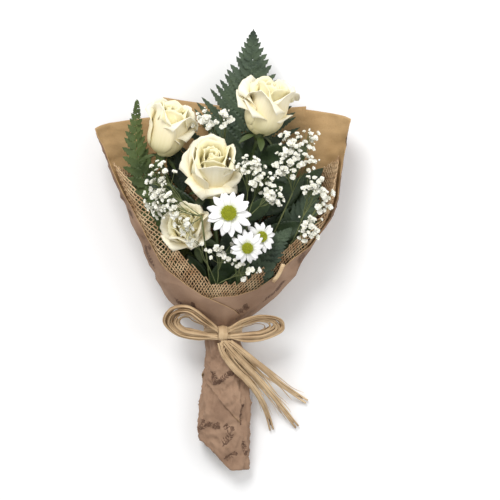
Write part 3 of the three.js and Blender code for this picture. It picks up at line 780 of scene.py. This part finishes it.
# ------------------------------------------------------------- rose leaves
# Dark glossy leaflets with toothed edges and a sunk midrib, each on a short stalk from a
# rose stem. More of the same foliage fills the inside of the cone under the flowers.

leaf_finish = Finish("rose_leaf", 0.42)
leaf_tint = leaf_finish.ramp(leaf_finish.pattern(45, 4), (0.3, tone(32, 44, 30)), (0.7, tone(62, 78, 50)))
leaf_finish.shader.inputs["Specular IOR Level"].default_value = 0.35
leaf_finish.colour(leaf_tint)
leaf_veins = leaf_finish.pattern(14, 2, (0.5, 2.2, 1), "UV")
leaf_finish.bump(leaf_veins, 0.7, 0.8)

LEAVES = (
    # name, rose stem, share of the stem, tip, width
    ("upper", "upper_right", 0.8, (74, 100, 62), 26),
    ("middle", "upper_right", 0.72, (62, 66, 72), 24),
    ("centre", "centre", 0.82, (42, 88, 70), 22),
)
for name, rose, share, tip, width in LEAVES:
    leaf_bm = bmesh.new()
    route = rose_stems[rose]
    start = route[int(share * 60)]
    tip = Vector(tip)
    joint = start.lerp(tip, 0.18)
    sweep(leaf_bm, [start, start.lerp(joint, 0.5) + Vector((0, 0, 1)), joint], 0.9, 0.7, sides=6)
    blade(leaf_bm, joint, tip, (0, -0.2, 1), width, 15, 0.1, 0.22, 0.06, 6, 60, 0.46)
    for side in (-1, 1):
        ahead = (tip - start).normalized()
        across = ahead.cross(Vector((0, 0, 1))).normalized() * side
        end = joint + (ahead * 0.55 + across * 0.8) * width * 0.95 - Vector((0, 0, 5))
        blade(leaf_bm, joint - ahead * 2, end, (0, -0.2, 1), width * 0.62, 12, 0.1, 0.22, 0.06, 6, 48, 0.46)
    finish_piece(f"leaf_{name}", leaf_bm, (leaf_finish.material,), (f"rose_leaf_{name}",),
                 0.35, 0)

UNDERGROWTH = (
    # foot, tip, width
    ((30, -30, 34), (70, -6, 46), 24), ((44, -10, 40), (92, 20, 50), 24), ((50, 20, 38), (98, 52, 48), 26),
    ((56, 40, 34), (100, 84, 46), 24), ((-14, -30, 30), (-48, -2, 42), 22),
        ((-8, -44, 34), (0, -10, 50), 22),
    ((8, -46, 36), (26, -14, 46), 22), ((20, -44, 36), (44, -20, 50), 20),
        ((-6, 60, 24), (-30, 112, 30), 26),
    ((-40, 60, 30), (-52, 112, 34), 22), ((20, 80, 26), (40, 128, 32), 26),
        ((-22, -10, 30), (-30, 40, 36), 24),
    ((0, -20, 32), (-24, 22, 34), 22), ((6, -18, 30), (10, 30, 38), 24), ((14, -20, 34), (40, 22, 40), 24),
    ((10, -6, 26), (30, 52, 34), 26), ((30, 0, 34), (66, 40, 44), 26), ((36, 10, 40), (84, 28, 60), 22),
    ((26, -24, 40), (56, -2, 58), 20), ((2, -28, 38), (12, 8, 64), 18), ((-6, 20, 30), (-14, 74, 32), 24),
    ((-20, 20, 34), (-50, 64, 36), 24), ((-24, 0, 36), (-60, 26, 50), 20), ((20, 40, 34), (48, 96, 38), 28),
    ((40, 36, 40), (82, 74, 46), 26), ((44, 62, 38), (86, 108, 44), 24), ((22, 30, 50), (50, 54, 66), 18),
    ((-18, -34, 40), (-34, -6, 62), 16), ((14, 60, 34), (12, 112, 40), 24), ((48, 8, 46), (74, -6, 66), 16),
    ((-30, 40, 40), (-78, 74, 44), 22), ((-34, 28, 44), (-46, 60, 72), 16),
)
undergrowth_bm = bmesh.new()
rand = random.Random(3)
for foot, tip, width in UNDERGROWTH:
    up = (rand.uniform(-0.3, 0.3), rand.uniform(-0.5, 0.1), 1)
    sweep(undergrowth_bm, [Vector((2, -60, 24)).lerp(Vector(foot), k / 4) for k in range(5)], 0.9, 0.8,
            sides=5)
    blade(undergrowth_bm, foot, tip, up, width, 14, 0.11, 0.25, 0.1, 6, 56, 0.46)
finish_piece("leaf_undergrowth", undergrowth_bm, (leaf_finish.material,), (), 0.35, 0)

# ------------------------------------------------------------- white daisies
# Three spray daisies on one forking stem. Each has grooved, notched rays in two layers
# round a yellow-green disc of tiny florets packed in spirals.

ray_finish = Finish("daisy_ray", 0.6)
ray_finish.colour(ray_finish.ramp(ray_finish.across(1), (0.0, tone(222, 226, 190)),
        (0.3, tone(240, 240, 236)),
                                  (1.0, tone(247, 246, 247))))
ray_finish.bump(ray_finish.pattern(9, 1, (1.0, 0.05, 1), "UV"), 0.4, 0.6)
disc_finish = Finish("daisy_disc", 0.7)
disc_finish.colour(disc_finish.ramp(disc_finish.pattern(900, 2), (0.3, tone(120, 128, 16)),
                                    (0.7, tone(178, 182, 40))))

DAISIES = (
    # name, centre, axis, reach of the rays, disc radius, rays
    ("upper", (7, 37, 110), (-0.1, 0.05, 1), 24, 7.6, 13),
    ("lower", (25, 3, 103), (0.05, -0.25, 1), 18, 5.6, 14),
    ("side", (39, 14, 93), (0.4, 0.1, 0.9), 17, 5.4, 12),
)


def daisy_ray(bm, seat, turn, hub, reach, width, droop, seed):
    """One strap-shaped ray with two grooves and a notched tip."""
    base, axis, front, right = seat
    out = front * math.cos(turn) + right * math.sin(turn)
    across = axis.cross(out)

    def place(u, v):
        side = 2 * u - 1
        full = 0.42 + 0.58 * math.sin(math.pi * min(1, 0.12 + v * 0.62)) if v < 0.97 else 0.7
        notch = 0.025 * abs(math.cos(2.5 * math.pi * side)) * between(v, 0.8, 1)
        rounding = 0.22 * side * side * between(v, 0.6, 1)
        far = hub * 0.7 + (reach - hub * 0.7) * (v - notch - rounding)
        groove = 0.35 * math.cos(3 * math.pi * side) * (1 - v * 0.5)
        cup = 0.9 * side * side * math.sin(seed)
        wave = 0.9 * math.sin(3.2 * v + seed * 2.0) * v
        rise = 1.2 * math.sin(math.pi * v) - droop * v * v + groove + cup + wave - 1.0
        return base + out * far + across * side * width / 2 * full + axis * rise

    bent_grid(bm, 8, 12, place)


rand = random.Random(8)
for name, centre, axis, reach, disc, count in DAISIES:
    seat = seat_of(centre, axis)
    rays_bm = bmesh.new()
    for layer, rays in ((0, count), (1, 4)):
        for k in range(rays):
            turn = 2 * math.pi * (k + 0.4 * layer + rand.uniform(-0.2, 0.2)) / rays
            size = reach * rand.uniform(0.86, 1.02) * (1 - 0.1 * layer)
            droop = rand.uniform(-1.5, 3.5) * reach / 24 - 1.4 * layer + 1
            lowered = (seat[0] - seat[1] * (0.9 * (1 - layer)), *seat[1:])
            daisy_ray(rays_bm, lowered, turn, disc, size, reach * 0.3, droop, rand.uniform(0, 6))
    finish_piece(f"bloom_{name}_rays", rays_bm, (ray_finish.material,),
            (f"daisy_{name}_rays",),
                 0.35, 0)

    disc_bm = bmesh.new()
    bmesh.ops.create_uvsphere(disc_bm, u_segments=20, v_segments=10, radius=1)
    for vert in disc_bm.verts:
        vert.co = (seat[0] + seat[2] * vert.co.x * disc * 0.93 + seat[3] * vert.co.y * disc * 0.93
                   + seat[1] * (vert.co.z * disc * 0.42))
    for k in range(170):
        far = math.sqrt((k + 0.5) / 170)
        turn = 2.39996 * k
        crown = math.sqrt(max(0, 1 - (far * 0.9) ** 2)) * disc * 0.42
        spot = (seat[0] + (seat[2] * math.cos(turn) + seat[3] * math.sin(turn)) * far * disc
                + seat[1] * (crown + 0.25 - 0.9 * (far < 0.35) * (0.35 - far)))
        size = disc * (0.062 + 0.028 * far)
        bmesh.ops.create_icosphere(disc_bm, subdivisions=1, radius=size, matrix=Matrix.Translation(spot))
    finish_piece(f"bloom_{name}_disc", disc_bm, (disc_finish.material,),
            (f"daisy_{name}_disc",))

fork = Vector((15, -32, 62))
daisy_bm = bmesh.new()
sweep(daisy_bm, curve_through([*stem_route((2, 90), fork)], 40), 1.7, 1.7, sides=8)
for name, centre, axis, reach, disc, count in DAISIES:
    seat = seat_of(centre, axis)
    under = seat[0] - seat[1] * disc * 0.5
    sweep(daisy_bm, curve_through([fork, fork.lerp(under, 0.5) + Vector((0, -3, -2)), under - seat[1] * 4,
            under], 24),
          1.1, 1.1, sides=7)
    cup = [under - seat[1] * h for h in (3.4, 2.2, 0.8, -0.6)]
    sweep(daisy_bm, cup, lambda t: disc * (0.35 + 0.55 * math.sqrt(t)),
            lambda t: disc * (0.35 + 0.55 * math.sqrt(t)),
          sides=12)
finish_piece("bloom_daisy_stems", daisy_bm, (stem_green.material,), ("daisy_spray_stem",))

# ------------------------------------------------------------- baby's breath
# Six airy sprays. A wiry green stem forks and forks again into hair-thin stalks, each
# ending in a small crumpled double flower or a round bud.

breath_flower = Finish("babys_breath_flower", 0.8)
breath_flower.colour(breath_flower.ramp(breath_flower.pattern(500, 2), (0.35, tone(226, 224, 204)),
                                        (0.6, tone(246, 245, 238))))
breath_stalk = plant_finish("babys_breath_stalk", tone(78, 88, 50), tone(126, 132, 86), 0.7)
SPRAYS = (
    # name, place in the neck, hub, (x, y, z, half width, half length) of each cluster, flowers
    ("left", (2, 140), (-20, 34, 97),
     ((-62, 66, 100, 14, 22), (-50, 44, 108, 12, 14), (-66, 46, 96, 10, 14), (-36, 22, 103, 9, 12)), 126),
    ("top", (2, 280), (2, 92, 38), ((-16, 130, 74, 14, 6), (2, 132, 70, 9, 6)), 51),
    ("upper_right", (2, 335), (70, 58, 62),
     ((68, 104, 84, 14, 14), (84, 112, 82, 9, 16), (62, 86, 84, 14, 12), (84, 88, 80, 8, 10)), 111),
    ("middle", (2, 45), (26, 34, 86), ((38, 74, 104, 12, 10), (50, 56, 104, 9, 14), (24, 84, 108, 12, 8)),
        90),
    ("right", (2, 0), (70, 10, 66), ((92, 62, 84, 12, 9), (102, 50, 84, 7, 12), (86, 22, 82, 12, 10)), 84),
    ("lower", (2, 115), (-6, -34, 62), ((-2, -2, 92, 12, 10), (26, -18, 94, 16, 6), (-24, 10, 90, 7, 8)),
        39),
)


def small_flower(bm, spot, axis, radius, rand):
    """A double flower of five folded outer petals and five upright inner ones."""
    seat = seat_of(spot, axis)
    for layer, count, tilt in ((0, 6, 0.5), (1, 5, 1.6)):
        for k in range(count):
            turn = 2 * math.pi * (k + 0.5 * layer + rand.uniform(-0.2, 0.2)) / count
            out = seat[2] * math.cos(turn) + seat[3] * math.sin(turn)
            across = seat[1].cross(out)
            size = radius * rand.uniform(0.8, 1.1) * (1 - 0.35 * layer)

            def place(u, v):
                side = 2 * u - 1
                wide = size * 0.55 * math.sin(math.pi * (0.2 + 0.62 * v))
                rise = size * (tilt * 0.6 * v - 0.22 * tilt * v * v) + 0.25 * size * side * side
                return seat[0] + out * size * (0.08 + v * (1 - 0.28 * layer)) + across * side * wide + seat[1] * rise

            bent_grid(bm, 2, 2, place, 0)


def stalk(bm, start, end, thick, rand):
    bow = Vector((rand.uniform(-1, 1), rand.uniform(-1, 1),
            rand.uniform(-1, 1))) * (end - start).length * 0.07
    sweep(bm, [start.lerp(end, t) + bow * math.sin(math.pi * t) for t in (0, 0.33, 0.66, 1)], thick, thick,
            sides=3,
          material=1, cap=False)


rand = random.Random(21)
for name, slot, hub, clusters, count in SPRAYS:
    breath_bm = bmesh.new()
    hub = Vector(hub)
    sweep(breath_bm, curve_through(stem_route(slot, hub), 30), 0.8, 0.8, sides=6, material=1)
    weights = [c[3] * c[4] for c in clusters]
    for x, y, z, wide, long in clusters:
        middle = Vector((x, y, z))
        share = max(4, round(count * wide * long / sum(weights)))
        root = hub.lerp(middle, 0.45) - Vector((0, 0, 4))
        stalk(breath_bm, hub, root, 0.55, rand)
        forks = []
        for k in range(max(3, share // 4)):
            turn = 2.4 * k + rand.uniform(-0.3, 0.3)
            far = math.sqrt((k + 0.5) / max(3, share // 4)) * 0.75
            place_at = middle + Vector((wide * far * math.cos(turn), long * far * math.sin(turn),
                    rand.uniform(-9, -3)))
            fork_at = root.lerp(place_at, rand.uniform(0.6, 0.8))
            stalk(breath_bm, root, fork_at, 0.36, rand)
            forks.append((fork_at, place_at))
        for k in range(share):
            fork_at, near = forks[k % len(forks)]
            reach = Vector((rand.gauss(0, 4.2), rand.gauss(0, 4.2), rand.uniform(0, 7)))
            spot = near + reach
            stalk(breath_bm, fork_at, spot, 0.24, rand)
            out = (spot - fork_at).normalized() + Vector((0, 0, 0.5))
            if rand.random() < 0.24:
                bud = Matrix.Translation(spot)
                bmesh.ops.create_icosphere(breath_bm, subdivisions=1, radius=rand.uniform(0.8, 1.2),
                        matrix=bud)
            else:
                small_flower(breath_bm, spot, out, rand.uniform(1.7, 3.0), rand)
    finish_piece(f"spray_{name}", breath_bm, (breath_flower.material, breath_stalk.material),
                          (f"babys_breath_{name}",))

# ------------------------------------------------------------- fern
# Leatherleaf fronds: a wiry midrib with pairs of long toothed leaflets that shorten to a
# point and overlap into one dark green blade.

fern_finish = Finish("fern", 0.6)
fern_tint = fern_finish.ramp(fern_finish.pattern(60, 4), (0.3, tone(46, 60, 46)), (0.7, tone(78, 94, 70)))
fern_finish.colour(fern_tint)
fern_finish.bump(fern_finish.pattern(16, 2, (0.4, 3.0, 1), "UV"), 0.6, 0.7)
fern_light = Finish("fern_light", 0.6)
fern_light.colour(fern_light.ramp(fern_light.pattern(60, 4), (0.3, tone(58, 74, 38)),
        (0.7, tone(92, 108, 60))))
fern_light.bump(fern_light.pattern(16, 2, (0.4, 3.0, 1), "UV"), 0.6, 0.7)


def leaflet(bm, foot, tip, up, width, lobes, rand):
    """A fern leaflet: a blade with toothed lobes that point at its tip."""
    foot, tip = Vector(foot), Vector(tip)
    ahead = tip - foot
    length = ahead.length
    ahead.normalize()
    up = (Vector(up) - ahead * ahead.dot(Vector(up))).normalized()
    across = ahead.cross(up)
    rows = lobes * 6
    droop = rand.uniform(0.02, 0.14)
    twist = rand.uniform(-0.12, 0.12)

    def place(u, v):
        side = 2 * u - 1
        full = (0.55 + 0.45 * between(v, 0, 0.15)) * (1 - v) ** 0.72 * 1.05
        lobe = (v * lobes) % 1.0
        edge = abs(side) > 0.99
        notch = (1 - 0.42 * lobe ** 1.4) * (1 - 0.1 * ((v * lobes * 3) % 1.0)) if edge else 1 - 0.12 * lobe
        half = width / 2 * full * notch + 0.08
        forward = 0.5 * half * abs(side)
        lift = 0.16 * half * abs(side) - droop * length * v * v + twist * half * side
        spot = foot + ahead * (v * length * 0.93 + forward * (1 - v)) + across * side * half + up * lift
        return tuck(spot, 6.0)

    bent_grid(bm, 4, rows, place)


def frond(bm, curve, blade_from, pairs, reach, side, rise, rand, taper=0.9, belly=0.3):
    """A midrib with its pairs of leaflets."""
    total = len(curve) - 1
    sweep(bm, curve, lambda t: 1.5 - 1.1 * t, lambda t: 1.5 - 1.1 * t, sides=6)
    for k in range(pairs):
        t = k / (pairs - 1)
        spot = blade_from + (0.992 - blade_from) * (1 - (1 - t) ** 1.45)
        i = min(total - 1, int(spot * total))
        at = curve[i].lerp(curve[i + 1], spot * total - i)
        ahead = (curve[i + 1] - curve[i]).normalized()
        across = (Vector(side) - ahead * ahead.dot(Vector(side))).normalized()
        up = across.cross(ahead)
        size = reach * (belly + (1 - belly) * between(t, -0.2, 0.12)) * (1 - t) ** (1.45 * taper) + 2.5
        for hand in (-1, 1):
            angle = math.radians(33 + 22 * t + rand.uniform(-4, 4))
            tip = at + (across * hand * math.cos(angle) + ahead * math.sin(angle)) * size
            tip += up * rise * size * rand.uniform(-0.06, 0.1)
            leaflet(bm, at + ahead * hand * 0.8, tip, up, min(19, 5 + size * 0.4), max(3, int(size / 4.6)),
                    rand)


FRONDS = (
    # name, place in the neck, upper route, share where the blade begins, pairs, reach, side
    ("top", (2, 250), ((4, 0, 17), (16, 90, 22), (26, 150, 30), (31, 224, 40)), 0.58, 20, 92,
        (1, -0.05, 0.05)),
    ("left", (2, 180), ((-37, -14, 18), (-67, 44, 30), (-87, 98, 42), (-86, 152, 50)), 0.5, 20, 44,
        (0.9, 0.05, -0.35)),
    ("right", (2, 310), ((30, -34, 26), (58, 6, 40), (80, 36, 52), (98, 70, 58)), 0.48, 16, 46,
        (0.7, -0.6, 0.1)),
    ("lower", (2, 22), ((20, -44, 42), (34, -20, 62), (48, 2, 73), (68, 22, 77)), 0.56, 14, 34,
        (0.6, -0.75, 0.1)),
)
rand = random.Random(17)
for name, slot, upper, blade_from, pairs, reach, side in FRONDS:
    fern_bm = bmesh.new()
    curve = curve_through(stem_route(slot, *upper), 60)
    frond(fern_bm, curve, blade_from, pairs, reach, side, 1, rand)
    paint = fern_light if name == "left" else fern_finish
    finish_piece(f"fern_{name}", fern_bm, (paint.material,), (f"fern_frond_{name}",), 0.3, 0)

# ------------------------------------------------------------- raffia bow
# Flat tan raffia: a band of several turns round the neck, a strip wrapped over the knot, two
# loops of many strands and three bundles of loose split ends.

raffia = Finish("raffia", 0.6)
raffia_tint = raffia.ramp(raffia.pattern(40, 3), (0.3, tone(174, 144, 108)), (0.7, tone(230, 204, 164)))
raffia_grain = raffia.ramp(raffia.pattern(30, 2, (1, 0.03, 1), "UV"), (0.3, (0.66, 0.56, 0.44, 1)),
        (0.62, (1, 1, 1, 1)))
raffia.colour(raffia.mix(raffia_tint, raffia_grain, 0.8, "MULTIPLY"))
raffia.bump(raffia.pattern(30, 3, (1, 0.03, 1), "UV"), 0.3, 0.9)

KNOT_Z = 37.6
LOOP_Z = 42.1
rand = random.Random(31)
band_bm = bmesh.new()
for k in range(9):
    middle = -83 + (k - 4) * 1.35
    ring = []
    for j in range(65):
        angle = 2 * math.pi * j / 64
        wander = 0.5 * math.sin(2 * angle + k * 1.7) + 0.3 * math.sin(5 * angle + k)
        swell = 0.25 * math.sin(3 * angle + 2 * k)
        ring.append(Vector(((19.2 + swell) * math.cos(angle), middle + wander,
                NECK_Z + (17.2 + swell) * math.sin(angle))))
    sweep(band_bm, ring, 1.15, 0.45, Vector((1, 0, 0)), sides=6, cap=False)
finish_piece("bow_band", band_bm, (raffia.material,), ("raffia_band",))

knot_bm = bmesh.new()
for k in range(7):
    ring = []
    across = (k - 3) * 1.25
    for j in range(41):
        angle = 2 * math.pi * j / 40
        squeeze = 1 - 0.12 * abs(k - 3) / 3
        ring.append(Vector((across + 0.4 * math.sin(angle + k), -83 + 7.6 * squeeze * math.cos(angle),
                            KNOT_Z + 0.6 + 5.4 * squeeze * math.sin(angle))))
    sweep(knot_bm, ring, 1.1, 0.5, Vector((0, 1, 0)), sides=6, cap=False)
finish_piece("bow_knot", knot_bm, (raffia.material,), ("raffia_knot",))

LOOPS = {
    "left": ((-5, -80, 2), (-18, -68, 10), (-34, -57, 16), (-50, -59, 12), (-56, -71, 4), (-44, -83, -2),
        (-24, -87, -3),
             (-5, -86, -1)),
    "right": ((5, -80, 2), (20, -71, 7), (38, -66, 8), (55, -69, 4), (58, -78, -1), (42, -86, -4),
        (24, -88, -2),
              (5, -86, -1)),
}
for name, route in LOOPS.items():
    loop_bm = bmesh.new()
    middle = Vector((-32 if name == "left" else 34, -73 if name == "left" else -77, 4))
    for k in range(24):
        spread = 0.42 + 0.7 * math.sqrt(k / 23)
        lift = rand.uniform(-2.6, 3.0)
        skew = Vector((rand.uniform(-2, 2), rand.uniform(-2, 2), 0))
        points = []
        for index, point in enumerate(route):
            point = Vector(point)
            ends = index in (0, len(route) - 1)
            swell = 1 if ends else spread
            spot = middle + (point - middle) * swell + (Vector() if ends else skew)
            if ends:
                spot.y += rand.uniform(-2.2, 2.2)
            points.append(spot + Vector((0, 0, LOOP_Z + (0.3 if ends else 1) * lift)))
        path = curve_through(points, 44)
        twist = Vector((rand.uniform(-0.5, 0.5), rand.uniform(-0.5, 0.5), 1))
        sweep(loop_bm, path, rand.uniform(0.35, 0.6), rand.uniform(1.1, 1.9), twist, sides=6)
    finish_piece(f"bow_loop_{name}", loop_bm, (raffia.material,), (f"raffia_loop_{name}",))

TAILS = (
    ((7.6, -91.5, 42), (16, -98, 42), (28, -108, 38), (43, -121, 30), (57, -134, 20), (70, -144, 10),
        (86, -155, 2.6)),
    ((2.3, -92.5, 42), (10, -102, 42), (22, -115, 38), (37, -131, 29), (51, -148, 18), (63, -164, 9),
        (76, -181, 2.6)),
    ((-2.9, -92.5, 42), (1, -104, 42), (12, -119, 40), (27, -134, 33), (38, -151, 22), (45, -167, 10),
        (50, -184, 2.6)),
)
for number, route in enumerate(TAILS):
    path = curve_through([Vector(p) for p in route], 44)
    middle_line = path[:-1]
    length = sum((b - a).length for a, b in zip(middle_line, middle_line[1:]))
    tail_bm = bmesh.new()
    for k in range(8):
        turn = 2 * math.pi * k / 8
        stop = len(path) - (rand.randint(1, 7) if k % 4 == 2 else 0)
        strand_path = []
        for j in range(stop):
            t = j / (len(path) - 1)
            ahead = (path[min(j + 1, len(path) - 1)] - path[max(0, j - 1)]).normalized()
            side = ahead.cross(Vector((0, 0, 1))).normalized()
            sway = 0.35 * math.sin(6 * t + 2 * k)
            spot = path[j] + side * (2.0 * math.cos(turn) + sway) + Vector((0, 0, 1.3 * math.sin(turn)))
            spot.z = max(spot.z, 0.5)
            strand_path.append(spot)
        sweep(tail_bm, strand_path, 0.85, 0.3, Vector((0, 0, 1)), sides=6)
    tail = finish_piece(f"bow_tail_{number + 1}", tail_bm, (raffia.material,),
            (f"raffia_tail_{number + 1}",))


strays_bm = bmesh.new()
for k in range(34):
    first, second = (TAILS[0], TAILS[1]) if k % 2 else (TAILS[1], TAILS[2])
    share = rand.uniform(-0.25, 1.25)
    cut = rand.uniform(0.55, 1.0)
    path = []
    for a, b in zip(first, second):
        a, b = Vector(a), Vector(b)
        path.append(a.lerp(b, share) + Vector((rand.uniform(-1.5, 1.5), rand.uniform(-1.5, 1.5),
                rand.uniform(-2, 1))))
    path[0] = Vector((rand.uniform(-3, 8), -90.5, 42))
    smooth_path = curve_through(path, 40)
    smooth_path = smooth_path[:int(41 * cut)]
    for spot in smooth_path:
        spot.z = max(spot.z, 0.5)
    half = rand.uniform(0.3, 1.2)
    sweep(strays_bm, smooth_path, lambda t: half * (1 - 0.8 * t ** 3), 0.22, Vector((0, 0, 1)), sides=4)
finish_piece("bow_strays", strays_bm, (raffia.material,))
